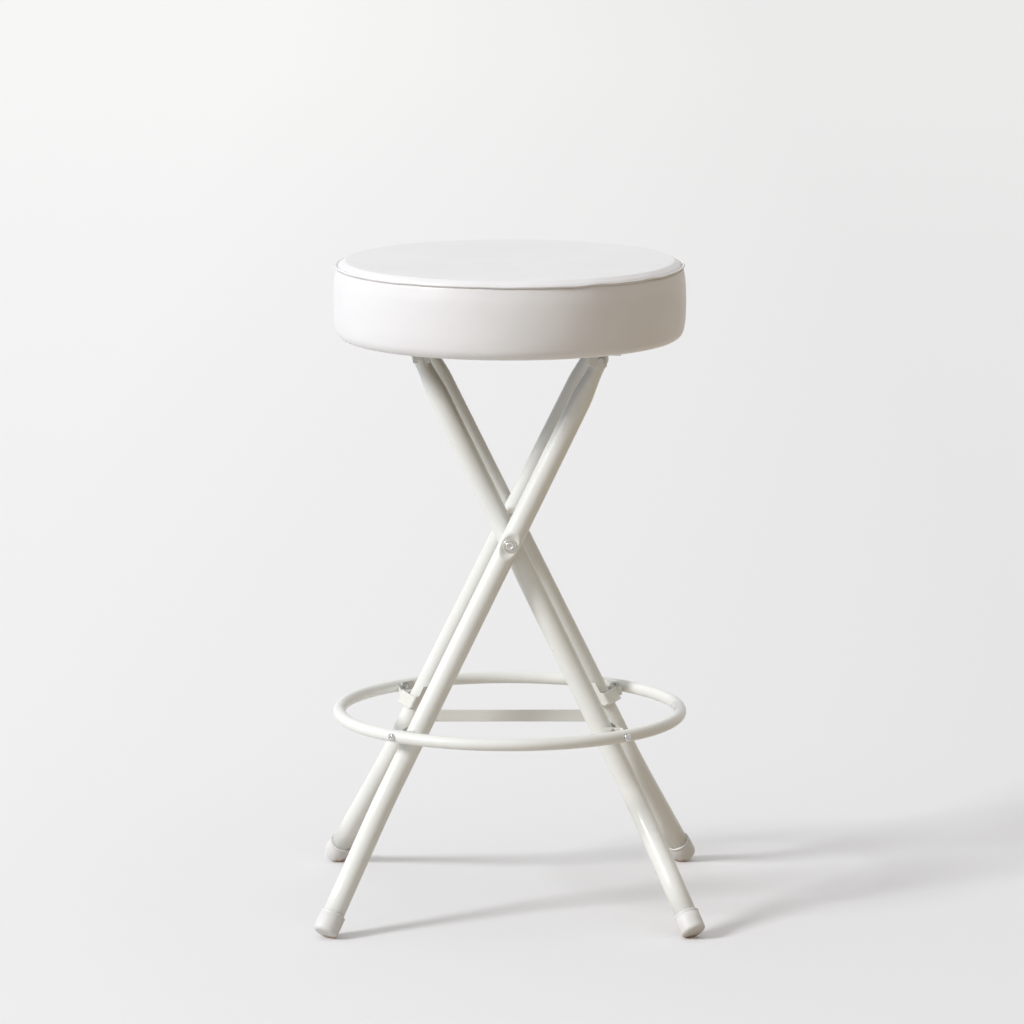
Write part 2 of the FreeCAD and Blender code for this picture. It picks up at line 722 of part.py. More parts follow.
os.makedirs("parts", exist_ok=True)
for side, frame in ((-1, "a"), (1, "b")):
    for front, place in ((-1, "front"), (1, "back")):
        tail = frame + "_" + place
        export("leg_" + tail, make_leg(side, front))
        export("foot_cap_" + tail, make_foot_cap(side, front))
        export("ring_bracket_" + tail, make_ring_bracket(side, front))
        export("ring_tab_" + tail, make_ring_tab(side, front))
    export("top_rod_" + frame, make_top_rod(side))
    export("stay_stud_" + frame, make_stay_stud(side))
export("ring_hinge_pins", [make_hinge_pin(-1), make_hinge_pin(1)])
export("ring_rest_studs", [make_rest_stud(-1), make_rest_stud(1)])
export("pivot_rivet_front", make_pivot_rivet(-1))
export("pivot_rivet_back", make_pivot_rivet(1))
export("pivot_washers", [make_pivot_washer(-1), make_pivot_washer(1)])
export("foot_ring", make_ring())
export("ring_screws", both(make_ring_screw, -1) + both(make_ring_screw, 1))
export("ring_nuts", both(make_ring_nut, -1) + both(make_ring_nut, 1))
export("stay_bar", make_stay_bar())
export("seat_cushion", make_seat_cushion())
export("seat_welt", make_seat_welt())
export("seat_board", make_seat_board())
export("seat_underside_cover", make_underside_cover())
export("seat_hinge_bracket", make_seat_bracket(-1))
export("seat_catch_bracket", make_seat_bracket(1))
export("seat_hinge_screws", seat_screws(-1))
export("seat_catch_screws", seat_screws(1))
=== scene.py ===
import math

import bmesh
import bpy
from mathutils import Matrix, Vector, noise


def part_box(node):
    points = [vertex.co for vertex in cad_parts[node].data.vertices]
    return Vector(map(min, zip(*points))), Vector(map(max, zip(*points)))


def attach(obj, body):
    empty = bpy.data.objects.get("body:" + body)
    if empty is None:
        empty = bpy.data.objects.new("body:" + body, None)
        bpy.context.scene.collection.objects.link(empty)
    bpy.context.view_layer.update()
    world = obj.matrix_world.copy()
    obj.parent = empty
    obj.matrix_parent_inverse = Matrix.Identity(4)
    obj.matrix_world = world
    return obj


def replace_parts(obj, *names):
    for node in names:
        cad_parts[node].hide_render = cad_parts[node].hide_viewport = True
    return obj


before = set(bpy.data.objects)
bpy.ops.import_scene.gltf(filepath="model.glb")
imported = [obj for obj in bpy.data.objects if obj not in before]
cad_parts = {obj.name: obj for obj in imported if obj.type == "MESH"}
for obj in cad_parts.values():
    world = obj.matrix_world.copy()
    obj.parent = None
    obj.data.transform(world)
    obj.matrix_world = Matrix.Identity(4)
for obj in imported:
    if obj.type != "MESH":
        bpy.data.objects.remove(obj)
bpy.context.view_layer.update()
scene = bpy.context.scene
mm = 0.001


def srgb(hexCode):
    channels = [int(hexCode[i:i + 2], 16) / 255 for i in (0, 2, 4)]
    linear = [c / 12.92 if c <= 0.04045 else ((c + 0.055) / 1.055) ** 2.4 for c in channels]
    return (*linear, 1.0)


def addNode(tree, kind, settings=None, inputs=None):
    # settings are attributes of the node; an input, by name or number, is a value or a socket to link from
    node = tree.nodes.new(kind)
    for name, value in (settings or {}).items():
        setattr(node, name, value)
    for key, value in (inputs or {}).items():
        socket = node.inputs[key]
        if isinstance(value, bpy.types.NodeSocket):
            tree.links.new(value, socket)
        else:
            socket.default_value = value
    return node


def newMaterial(name):
    material = bpy.data.materials.new(name)
    material.use_nodes = True
    tree = material.node_tree
    tree.nodes.clear()
    return material, tree, addNode(tree, "ShaderNodeTexCoord").outputs["Object"]


def finishMaterial(tree, spread, colours, roughness, relief=(), values=None, normal=None):
    # the colour runs between two hex values as spread goes from 0 to 1; relief is heights, each with its depth
    # in mm, the coarsest first; values go straight on the shader's sockets
    for height, depthMm in relief:
        inputs = {"Height": height, "Strength": 1.0, "Distance": depthMm * mm}
        if normal:
            inputs["Normal"] = normal
        normal = addNode(tree, "ShaderNodeBump", None, inputs).outputs["Normal"]
    first, second = (srgb(colour) for colour in colours)
    colour = addNode(tree, "ShaderNodeMix", {"data_type": "RGBA"}, {0: spread, 6: first, 7: second}).outputs[2]
    inputs = {"Base Color": colour, "Roughness": roughness, **(values or {})}
    if normal:
        inputs["Normal"] = normal
    shader = addNode(tree, "ShaderNodeBsdfPrincipled", None, inputs)
    addNode(tree, "ShaderNodeOutputMaterial", None, {"Surface": shader.outputs["BSDF"]})


def blotches(tree, coords, spotMm, low, high):
    # soft patches: a noise with spots of that size, stretched between two values
    patch = addNode(tree, "ShaderNodeTexNoise", None,
                    {"Vector": coords, "Scale": 1000 / spotMm, "Detail": 3.0, "Roughness": 0.55})
    stretched = addNode(tree, "ShaderNodeMapRange", None,
                        {"Value": patch.outputs["Fac"], "From Min": 0.3, "From Max": 0.7,
                         "To Min": low, "To Max": high})
    return stretched.outputs["Result"]


print("stool: materials")

# Polyester powder coat baked on steel tube: satin, with the faint orange peel that the powder leaves
powderCoat = {
    "tubes": ("f4f6f4", "eff1ed"), "brackets": ("f0f1ed", "e8e8e2"), "tintMm": 90,
    "roughness": (0.27, 0.36), "glossMm": 35, "edgeMm": 1.2,
    "peelMm": 3.2, "peelDepthMm": 0.035, "speckMm": 0.9, "speckDepthMm": 0.006,
    "shader": {"IOR": 1.5, "Coat Weight": 0.12, "Coat Roughness": 0.12},
}


def powderCoatMaterial(name, colours):
    c = powderCoat
    material, tree, coords = newMaterial(name)
    tint = blotches(tree, coords, c["tintMm"], 0.0, 1.0)
    gloss = blotches(tree, coords, c["glossMm"], *c["roughness"])
    peel = addNode(tree, "ShaderNodeTexNoise", None,
                   {"Vector": coords, "Scale": 1000 / c["peelMm"], "Detail": 1.5, "Roughness": 0.4})
    speck = addNode(tree, "ShaderNodeTexNoise", None, {"Vector": coords, "Scale": 1000 / c["speckMm"], "Detail": 0.0})
    softEdge = addNode(tree, "ShaderNodeBevel", {"samples": 6}, {"Radius": c["edgeMm"] * mm})
    relief = [(peel.outputs["Fac"], c["peelDepthMm"]), (speck.outputs["Fac"], c["speckDepthMm"])]
    finishMaterial(tree, tint, colours, gloss, relief, c["shader"], softEdge.outputs["Normal"])
    return material


legPowderCoat = powderCoatMaterial("legPowderCoat", powderCoat["tubes"])
bracketPowderCoat = powderCoatMaterial("bracketPowderCoat", powderCoat["brackets"])

# PVC-coated upholstery fabric: soft sheen, fine pebble grain pressed into it, slow waves from the foam
vinyl = {
    "colours": ("f3f3f5", "eeeef0"), "tintMm": 120, "roughness": (0.36, 0.46), "glossMm": 30,
    "grainMm": 1.3, "grainDepthMm": 0.05, "waveMm": 45, "waveDepthMm": 0.5,
    "shader": {"IOR": 1.48, "Coat Weight": 0.08, "Coat Roughness": 0.3, "Sheen Weight": 0.08, "Sheen Roughness": 0.5},
}
seatVinyl, tree, coords = newMaterial("seatVinyl")
tint = blotches(tree, coords, vinyl["tintMm"], 0.0, 1.0)
gloss = blotches(tree, coords, vinyl["glossMm"], *vinyl["roughness"])
grain = addNode(tree, "ShaderNodeTexVoronoi", {"feature": "SMOOTH_F1"},
                {"Vector": coords, "Scale": 1000 / vinyl["grainMm"], "Smoothness": 0.6})
wave = addNode(tree, "ShaderNodeTexNoise", None,
               {"Vector": coords, "Scale": 1000 / vinyl["waveMm"], "Detail": 2.0, "Roughness": 0.4})
relief = [(wave.outputs["Fac"], vinyl["waveDepthMm"]), (grain.outputs["Distance"], vinyl["grainDepthMm"])]
finishMaterial(tree, tint, vinyl["colours"], gloss, relief, vinyl["shader"])

# Moulded PVC ferrule: chalky white, turning tan over the last few millimetres above the floor
ferrule = {
    "colours": ("e6e6e6", "b08a66"), "tanBandMm": (0.8, 4.2), "tanMost": 0.85, "raggedMm": 0.9, "raggedSpotMm": 3.0,
    "roughness": (0.42, 0.58), "glossMm": 9, "textureMm": 1.1, "textureDepthMm": 0.04, "shader": {"IOR": 1.53},
}
ferrulePvc, tree, coords = newMaterial("ferrulePvc")
height = addNode(tree, "ShaderNodeSeparateXYZ", None, {"Vector": coords}).outputs["Z"]
ragged = blotches(tree, coords, ferrule["raggedSpotMm"], -ferrule["raggedMm"] * mm, ferrule["raggedMm"] * mm)
edge = addNode(tree, "ShaderNodeMath", {"operation": "ADD"}, {0: height, 1: ragged}).outputs[0]
tanBandLow, tanBandHigh = ferrule["tanBandMm"]
# the colour turns tan towards the floor, fading out between these heights along a ragged edge
tanTowardsFloor = addNode(tree, "ShaderNodeMapRange", None,
                  {"Value": edge, "From Min": tanBandLow * mm, "From Max": tanBandHigh * mm,
                   "To Min": ferrule["tanMost"], "To Max": 0.0}).outputs["Result"]
gloss = blotches(tree, coords, ferrule["glossMm"], *ferrule["roughness"])
texture = addNode(tree, "ShaderNodeTexNoise", None,
                  {"Vector": coords, "Scale": 1000 / ferrule["textureMm"], "Detail": 2.0})
finishMaterial(tree, tanTowardsFloor, ferrule["colours"], gloss, [(texture.outputs["Fac"], ferrule["textureDepthMm"])],
               ferrule["shader"])

# Zinc-plated mild steel: cool grey, a little cloudy, with fine drawing lines
zinc = {
    "cloudMm": 7, "glossMm": 4, "lineMm": 0.8, "lineDepthMm": 0.008,
    "zincSteel": (("b7b8b6", "9c9d9a"), (0.24, 0.4)),
    "shadeBrownZinc": (("a8a198", "8d857b"), (0.3, 0.45)),  # darker and browner: painted shade for the pins and studs that sit in shadow under the ring
    "brightSteel": (("d4d4d2", "bcbcba"), (0.1, 0.2)),
    "rivetSteel": (("dcdad4", "c9c6be"), (0.3, 0.42)),
}


def zincMaterial(name):
    colours, roughness = zinc[name]
    material, tree, coords = newMaterial(name)
    tint = blotches(tree, coords, zinc["cloudMm"], 0.0, 1.0)
    gloss = blotches(tree, coords, zinc["glossMm"], *roughness)
    drawn = addNode(tree, "ShaderNodeTexNoise", None, {"Vector": coords, "Scale": 1000 / zinc["lineMm"], "Detail": 1.0})
    finishMaterial(tree, tint, colours, gloss, [(drawn.outputs["Fac"], zinc["lineDepthMm"])], {"Metallic": 1.0})
    return material


zincSteel, shadeBrownZinc = zincMaterial("zincSteel"), zincMaterial("shadeBrownZinc")
brightSteel, rivetSteel = zincMaterial("brightSteel"), zincMaterial("rivetSteel")

# Nylon washer: milky and waxy
nylon = {"colours": ("ece8de", "dfd9cb"), "tintMm": 6, "roughness": (0.38, 0.5), "glossMm": 3, "shader": {"IOR": 1.53}}
milkyNylon, tree, coords = newMaterial("milkyNylon")
finishMaterial(tree, blotches(tree, coords, nylon["tintMm"], 0.0, 1.0), nylon["colours"],
               blotches(tree, coords, nylon["glossMm"], *nylon["roughness"]), (), nylon["shader"])

# Rotary-cut birch plywood: long soft grain, dry and unvarnished
birch = {
    "colours": ("d9bd92", "b98f5f"), "grainScale": 18.0, "stretch": (1.0, 14.0, 40.0), "grainDepthMm": 0.15,
    "roughness": (0.6, 0.75), "glossMm": 12,
}
birchPlywood, tree, coords = newMaterial("birchPlywood")
stretched = addNode(tree, "ShaderNodeMapping", None, {"Vector": coords, "Scale": birch["stretch"]})
grain = addNode(tree, "ShaderNodeTexNoise", None,
                {"Vector": stretched.outputs["Vector"], "Scale": birch["grainScale"],
                 "Detail": 5.0, "Distortion": 0.8}).outputs["Fac"]
gloss = blotches(tree, coords, birch["glossMm"], *birch["roughness"])
finishMaterial(tree, grain, birch["colours"], gloss, [(grain, birch["grainDepthMm"])])

# Spun-bonded dust cover: thin black felt with a bonded dot every few millimetres
dustCover = {
    "colours": ("2c2b2a", "1b1a1a"), "dotMm": 2.4, "dotDepthMm": 0.12, "roughness": 0.85,
    "shader": {"Sheen Weight": 0.25, "Sheen Roughness": 0.6},
}
spunBondedCloth, tree, coords = newMaterial("spunBondedCloth")
dots = addNode(tree, "ShaderNodeTexVoronoi", None,
               {"Vector": coords, "Scale": 1000 / dustCover["dotMm"], "Randomness": 0.25})
bonded = addNode(tree, "ShaderNodeMapRange", None,
                 {"Value": dots.outputs["Distance"], "From Min": 0.1, "From Max": 0.4}).outputs["Result"]
finishMaterial(tree, bonded, dustCover["colours"], dustCover["roughness"], [(bonded, dustCover["dotDepthMm"])],
               dustCover["shader"])

# Bonded polyester thread: a tight twist that catches the light
thread = {"colours": ("e6e0d4", "d2cabb"), "tintMm": 1.5, "roughness": 0.5, "shader": {"Sheen Weight": 0.2}}
polyesterThread, tree, coords = newMaterial("polyesterThread")
finishMaterial(tree, blotches(tree, coords, thread["tintMm"], 0.0, 1.0), thread["colours"], thread["roughness"], (),
               thread["shader"])


def paint(obj, material):
    obj.data.materials.clear()
    obj.data.materials.append(material)


def dress(material, *starts):
    # gives a finish to the CAD nodes whose names start so
    for name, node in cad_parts.items():
        if name.startswith(starts):
            if not node.material_slots:
                node.data.materials.append(material)
            for slot in node.material_slots:
                slot.material = material


dress(legPowderCoat, "foot_ring", "top_rod_")
dress(bracketPowderCoat, "ring_bracket_", "ring_tab_", "seat_hinge_bracket", "seat_catch_bracket", "stay_bar")
dress(zincSteel, "stay_stud_", "ring_nuts")
# painted shade: the hinge pins and rest studs get the darker, browner zinc for their place in shadow under the ring
dress(shadeBrownZinc, "ring_hinge_pins", "ring_rest_studs")
dress(milkyNylon, "pivot_washers")
dress(birchPlywood, "seat_board")
dress(spunBondedCloth, "seat_underside_cover")


def addPiece(name, mesh, material, body):
    piece = bpy.data.objects.new(name, mesh)
    scene.collection.objects.link(piece)
    paint(piece, material)
    mesh.shade_smooth()
    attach(piece, body)
    return piece


def skin(name, rings, placement=None):
    # a closed mesh over rings of points, in metres; a ring of one point is a pole, and a wider end gets a lid
    form = bmesh.new()
    rings = [[form.verts.new(point) for point in ring] for ring in rings]
    around = max(len(ring) for ring in rings)
    for below, above in zip(rings, rings[1:]):
        for i in range(around):
            j = (i + 1) % around
            corners = [below[i % len(below)], below[j % len(below)], above[j % len(above)], above[i % len(above)]]
            corners = list(dict.fromkeys(corners))
            if len(corners) > 2:
                form.faces.new(corners)
    for end in (rings[0], rings[-1]):
        if len(end) > 1:
            form.faces.new(end)
    bmesh.ops.recalc_face_normals(form, faces=form.faces)
    if placement:
        form.transform(placement)
    mesh = bpy.data.meshes.new(name)
    form.to_mesh(mesh)
    form.free()
    return mesh


def lathe(name, profile, steps, placement=None):
    # profile is (radius, height) in mm; a radius of 0 closes on the axis
    rings = []
    for radius, height in profile:
        angles = [2 * math.pi * i / steps for i in range(steps)] if radius else [0.0]
        rings.append([(radius * mm * math.cos(angle), radius * mm * math.sin(angle), height * mm) for angle in angles])
    return skin(name, rings, placement)


def rounded(points, corner, steps=4):
    # softens the corners of a profile, in mm
    out = [points[0]]
    for before, here, after in zip(points, points[1:], points[2:]):
        a, b, c = Vector(before), Vector(here), Vector(after)
        reach = min(corner, (a - b).length * 0.45, (c - b).length * 0.45)
        start = b + (a - b).normalized() * reach
        end = b + (c - b).normalized() * reach
        for k in range(steps + 1):
            t = k / steps
            out.append(tuple(start.lerp(b, t).lerp(b.lerp(end, t), t)))
    out.append(points[-1])
    return out


def runTree(name, mesh, tree, values):
    # runs a Geometry Nodes tree on a mesh and gives back the plain mesh it makes
    holder = bpy.data.objects.new(name, mesh)
    scene.collection.objects.link(holder)
    modifier = holder.modifiers.new(name, "NODES")
    modifier.node_group = tree
    for item in tree.interface.items_tree:
        if item.item_type == "SOCKET" and item.in_out == "INPUT" and item.name in values:
            modifier[item.identifier] = values[item.name]
    bpy.context.view_layer.update()
    evaluated = holder.evaluated_get(bpy.context.evaluated_depsgraph_get())
    made = bpy.data.meshes.new_from_object(evaluated)
    bpy.data.objects.remove(holder)
    return made


def newTree(name, inputs):
    tree = bpy.data.node_groups.new(name, "GeometryNodeTree")
    tree.interface.new_socket("Geometry", in_out="INPUT", socket_type="NodeSocketGeometry")
    for label, kind, value in inputs:
        socket = tree.interface.new_socket(label, in_out="INPUT", socket_type=kind)
        if value is not None:
            socket.default_value = value
    tree.interface.new_socket("Geometry", in_out="OUTPUT", socket_type="NodeSocketGeometry")
    return tree, addNode(tree, "NodeGroupInput").outputs


def finishTree(tree, geometry, material):
    single = addNode(tree, "GeometryNodeRealizeInstances", None, {"Geometry": geometry})
    covered = addNode(tree, "GeometryNodeSetMaterial", None,
                      {"Geometry": single.outputs["Geometry"], "Material": material})
    addNode(tree, "NodeGroupOutput", None, {"Geometry": covered.outputs["Geometry"]})


print("stool: seat cushion")

cushion = {
    "radius": 180.0, "bottom": 591.6, "cornerRadius": 11.0, "crown": 2.6, "around": 264,
    "pocketRadius": 165.4, "pocketTop": 603.9,
    "sideInset": 1.3, "sideBulge": 1.045, "sideTaper": 0.9, "shoulder": (8.6, 3.2),
    "seamRadius": 178.0, "seamHeight": 666.5,
    "groove": ((-0.3, -1.6), (-1.5, -0.7), (-2.0, 0.0), (-1.8, 0.8)),  # out and up from the seam
    "frames": 20, "cap": 1.6, "evenings": 24,  # evenings take out the buckles that stiff vinyl lacks
    "foam": {"quality": 6, "mass": 0.35, "tension_stiffness": 22, "compression_stiffness": 12, "shear_stiffness": 8,
             "bending_stiffness": 1.2, "use_pressure": True, "uniform_pressure_force": 3.0, "shrink_min": -0.012},
    "heldBelow": 4.0, "heldInside": 1.0, "heldUpTo": 610.0, "heldByTheSeam": (4.0, 1.3),
    "followMm": 9.0, "changedOutside": 100.0, "changedAbove": 612.0,
    "pucker": 0.1, "puckersAround": 21, "puckerFrom": 2.5, "puckerTo": 14.0,
    "slack": 0.22, "slackAround": 4.5, "slackFrom": 8.0, "sideOutside": 175.0, "topInside": 165.0, "topShare": 0.6,
}

# the seam wanders by sine waves of (mm, number round the seat, phase), most at the front right
ripple = {
    "slow": ((0.28, 3, 0.7), (0.16, 7, 2.1)), "quick": ((0.2, 17, 0.4), (0.14, 29, 1.3)),
    "angle": -0.9, "spread": 0.45, "out": 0.25, "outMore": 2.2, "up": 0.55, "upMore": 1.5,
}


def seamWave(angle):
    local = math.exp(-((angle - ripple["angle"]) / ripple["spread"]) ** 2)
    slow, quick = (sum(size * math.sin(count * angle + phase) for size, count, phase in ripple[kind])
                   for kind in ("slow", "quick"))
    out = ripple["out"] * quick * (1 + ripple["outMore"] * local)
    return out, slow + quick * (ripple["up"] + ripple["upMore"] * local)


def cushionProfile():
    c = cushion
    points = [(0.0, c["pocketTop"])]
    points += [(c["pocketRadius"] * t, c["pocketTop"]) for t in (0.3, 0.6, 0.85, 1.0)]
    points += [(c["pocketRadius"], c["bottom"] + 5), (c["pocketRadius"], c["bottom"])]
    side = c["radius"] - c["sideInset"]
    for k in range(9):
        turn = math.pi / 2 * k / 8
        points.append((side - c["cornerRadius"] * (1 - math.sin(turn)),
                       c["bottom"] + c["cornerRadius"] * (1 - math.cos(turn))))
    low = points[-1][1]
    groove = [(c["seamRadius"] + out, c["seamHeight"] + up) for out, up in c["groove"]]
    high = groove[0][1]
    for k in range(1, 18):
        t = k / 18
        points.append((side + c["sideBulge"] * math.sin(math.pi * t) - c["sideTaper"] * t ** 5, low + (high - low) * t))
    points += groove
    inner, upper = groove[-1]
    across, rise = c["shoulder"]
    for k in range(1, 10):
        turn = math.pi / 2 * k / 9
        points.append((inner - across * (1 - math.cos(turn)) ** 0.9, upper + rise * math.sin(turn)))
    edgeRadius, edgeHeight = points[-1]
    for k in range(1, 16):
        t = 1 - k / 16
        points.append((edgeRadius * t, edgeHeight + c["crown"] * (1 - t * t)))
    return points + [(0.0, edgeHeight + c["crown"])]


cushionMesh = lathe("seatCushion", cushionProfile(), cushion["around"])
cushionPiece = bpy.data.objects.new("seatCushion", cushionMesh)
scene.collection.objects.link(cushionPiece)


def nearSeam(point, reachMm):
    radius = math.hypot(point.x, point.y) / mm
    distance = math.hypot(radius - cushion["seamRadius"], point.z / mm - cushion["seamHeight"])
    return math.exp(-(distance / reachMm) ** 2)


def inflate(piece):
    # the panels are held along the seam, the bottom edge and the board, and the foam swells them
    rest = [vertex.co.copy() for vertex in piece.data.vertices]
    held = piece.vertex_groups.new(name="held")
    for index, point in enumerate(rest):
        radius = math.hypot(point.x, point.y) / mm
        height = point.z / mm
        onBoard = radius < cushion["pocketRadius"] + cushion["heldInside"] and height < cushion["heldUpTo"]
        fixed = height < cushion["bottom"] + cushion["heldBelow"] or onBoard
        reach, strength = cushion["heldByTheSeam"]
        weight = 1.0 if fixed else min(1.0, nearSeam(point, reach) * strength)
        if weight > 0.02:
            held.add([index], weight, "REPLACE")
    cloth = piece.modifiers.new("foam", "CLOTH")
    for name, value in cushion["foam"].items():
        setattr(cloth.settings, name, value)
    cloth.settings.vertex_group_mass = "held"
    cloth.settings.effector_weights.gravity = 0
    cloth.collision_settings.use_collision = False
    cloth.collision_settings.use_self_collision = False
    cloth.point_cache.frame_start = 1
    cloth.point_cache.frame_end = cushion["frames"]
    for step in range(1, cushion["frames"] + 1):
        scene.frame_set(step)
    evaluated = piece.evaluated_get(bpy.context.evaluated_depsgraph_get())
    moved = [vertex.co.copy() for vertex in evaluated.data.vertices]
    piece.modifiers.remove(cloth)
    cap = cushion["cap"] * mm
    steps = [end - start for start, end in zip(rest, moved)]
    beside = [[] for vertex in rest]
    for edge in piece.data.edges:
        first, second = edge.vertices
        beside[first].append(second)
        beside[second].append(first)
    for turn in range(cushion["evenings"]):
        steps = [(step + sum((steps[other] for other in others), Vector()) / len(others)) / 2
                 for step, others in zip(steps, beside)]
    for vertex, start, step in zip(piece.data.vertices, rest, steps):
        if step.length > cap:
            step *= cap / step.length
        vertex.co = start + step
    scene.frame_set(1)


inflate(cushionPiece)

# the seam's wander, puckers beside it, and slack in the panels away from it
for vertex in cushionPiece.data.vertices:
    point, c = vertex.co, cushion
    radius = math.hypot(point.x, point.y)
    if radius < c["changedOutside"] * mm or point.z < c["changedAbove"] * mm:
        continue
    angle = math.atan2(point.y, point.x)
    out, up = seamWave(angle)
    follow = nearSeam(point, c["followMm"])
    pucker, slack = (noise.noise(Vector((math.cos(angle) * count, math.sin(angle) * count, point.z / mm * rise)))
                     for count, rise in ((c["puckersAround"], 0.02), (c["slackAround"], 0.03)))
    pulled = c["pucker"] * pucker * nearSeam(point, c["puckerTo"]) * (1 - nearSeam(point, c["puckerFrom"]))
    slack *= c["slack"] * (1 - nearSeam(point, c["slackFrom"]))
    grow = (out * follow + pulled + (slack if radius > c["sideOutside"] * mm else 0)) * mm / radius
    point.x += point.x * grow
    point.y += point.y * grow
    point.z += (up * follow + (slack * c["topShare"] if radius < c["topInside"] * mm else 0)) * mm

softer = cushionPiece.modifiers.new("softer", "SUBSURF")
softer.levels = softer.render_levels = 1
bpy.context.view_layer.update()
smoothMesh = bpy.data.meshes.new_from_object(cushionPiece.evaluated_get(bpy.context.evaluated_depsgraph_get()))
bpy.data.objects.remove(cushionPiece)
smoothMesh.name = "seatCushion"
seatCushion = addPiece("seatCushion", smoothMesh, seatVinyl, "seat")
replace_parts(seatCushion, "seat_cushion")

print("stool: welt and stitches")

welt = {
    "cordMm": 1.2, "offset": (0.55, 0.1), "points": 720,
    "stitchPitchMm": 3.4, "stitchLengthMm": 2.3, "stitchWidthMm": 0.62, "stitchOffset": (0.35, -2.0),
}


def seamLine(name, outMm, upMm):
    mesh = bpy.data.meshes.new(name)
    points, count = [], welt["points"]
    for k in range(count):
        angle = -math.pi + 2 * math.pi * k / count
        out, up = seamWave(angle)
        radius = (cushion["seamRadius"] + outMm + out) * mm
        points.append((radius * math.cos(angle), radius * math.sin(angle), (cushion["seamHeight"] + upMm + up) * mm))
    mesh.from_pydata(points, [(k, (k + 1) % count) for k in range(count)], [])
    return mesh


# a cord along a line
weltTree, given = newTree("weltCord", [
    ("Cord Radius", "NodeSocketFloat", 1.6 * mm), ("Cloth", "NodeSocketMaterial", None)])
line = addNode(weltTree, "GeometryNodeMeshToCurve", None, {"Mesh": given["Geometry"]})
section = addNode(weltTree, "GeometryNodeCurvePrimitiveCircle", None,
                  {"Resolution": 14, "Radius": given["Cord Radius"]})
cord = addNode(weltTree, "GeometryNodeCurveToMesh", None,
               {"Curve": line.outputs["Curve"], "Profile Curve": section.outputs["Curve"]})
finishTree(weltTree, cord.outputs["Mesh"], given["Cloth"])
weltMesh = runTree("seatWelt", seamLine("weltLine", *welt["offset"]), weltTree,
                   {"Cord Radius": welt["cordMm"] * mm, "Cloth": seatVinyl})
seatWelt = addPiece("seatWelt", weltMesh, seatVinyl, "seat")
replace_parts(seatWelt, "seat_welt")

# stitches laid end to end along a line
stitchTree, given = newTree("stitchRun", [
    ("Pitch", "NodeSocketFloat", 3.4 * mm), ("Length", "NodeSocketFloat", 2.3 * mm),
    ("Width", "NodeSocketFloat", 0.6 * mm), ("Thread", "NodeSocketMaterial", None)])
line = addNode(stitchTree, "GeometryNodeMeshToCurve", None, {"Mesh": given["Geometry"]})
spaced = addNode(stitchTree, "GeometryNodeResampleCurve", {"mode": "LENGTH"},
                 {"Curve": line.outputs["Curve"], "Length": given["Pitch"]})
along = addNode(stitchTree, "GeometryNodeInputTangent")
turned = addNode(stitchTree, "FunctionNodeAlignEulerToVector", {"axis": "X"}, {"Vector": along.outputs["Tangent"]})
bead = addNode(stitchTree, "GeometryNodeMeshUVSphere", None, {"Segments": 8, "Rings": 5, "Radius": 0.5})
size = addNode(stitchTree, "ShaderNodeCombineXYZ", None,
               {"X": given["Length"], "Y": given["Width"], "Z": given["Width"]})
laid = addNode(stitchTree, "GeometryNodeInstanceOnPoints", None,
               {"Points": spaced.outputs["Curve"], "Instance": bead.outputs["Mesh"],
                "Rotation": turned.outputs["Rotation"], "Scale": size.outputs["Vector"]})
finishTree(stitchTree, laid.outputs["Instances"], given["Thread"])
stitchMesh = runTree("seamStitches", seamLine("stitchLine", *welt["stitchOffset"]), stitchTree,
                     {"Pitch": welt["stitchPitchMm"] * mm, "Length": welt["stitchLengthMm"] * mm,
                      "Width": welt["stitchWidthMm"] * mm, "Thread": polyesterThread})
addPiece("seamStitches", stitchMesh, polyesterThread, "seat")

print("stool: legs and foot caps")

# tube bent at the knee, pressed softly into an oval dimple round the rivet, pinched oval at the top; in mm and degrees
leg = {
    "radius": 11.1, "lean": 26.0, "pivotHeight": 391.0, "innerDepth": 68.1, "outerDepth": 91.9,
    "innerSplay": 4.64, "outerSplay": 3.19, "kneeHeight": 125.0, "bendRadius": 110.0, "footDepth": 185.0,
    "capHidden": 10.0,  # run at the foot that the cap hides
    "rodHeight": 581.0, "pinchLength": 42.0, "pinchStraight": 9.0, "pinchThickness": 16.0, "pinchWidth": 26.0,
    "dimpleDepth": 5.0, "dimpleFlat": (7.6, 7.4), "dimpleMouth": (15.5, 11.6),  # half lengths and half widths
    "around": 72, "bendSteps": 8, "dimpleSteps": 30, "dimpleStep": 0.7, "pinchSteps": 14, "endSteps": 8,
}
footCap = {
    "radius": 12.9, "rim": 13.2, "length": 22.5, "edge": 4.0, "lip": 1.1, "bore": 11.15, "worn": 0.6, "around": 56,
    "grooveDepth": 0.35, "groove": (3.4, 3.0, 2.5),  # a moulded line below the lip, down from the rim
    "draft": (0.1, 12.0), "boreDepth": 4.0,
}


def legAxis(side, front):
    lean = math.tan(math.radians(leg["lean"]))
    outer = side * front > 0
    depth = leg["outerDepth"] if outer else leg["innerDepth"]
    splay = math.tan(math.radians(leg["outerSplay"] if outer else leg["innerSplay"]))

    def at(height):
        drop = leg["pivotHeight"] - height
        return Vector((side * lean * drop, front * (depth + drop * splay), height))

    foot = Vector((side * lean * leg["pivotHeight"], front * leg["footDepth"], 0))
    knee, rod = at(leg["kneeHeight"]), at(leg["rodHeight"])
    return {"foot": foot, "knee": knee, "rod": rod, "pivot": at(leg["pivotHeight"]),
            "lower": (knee - foot).normalized(), "upper": (rod - knee).normalized(),
            "press": front if outer else -front}


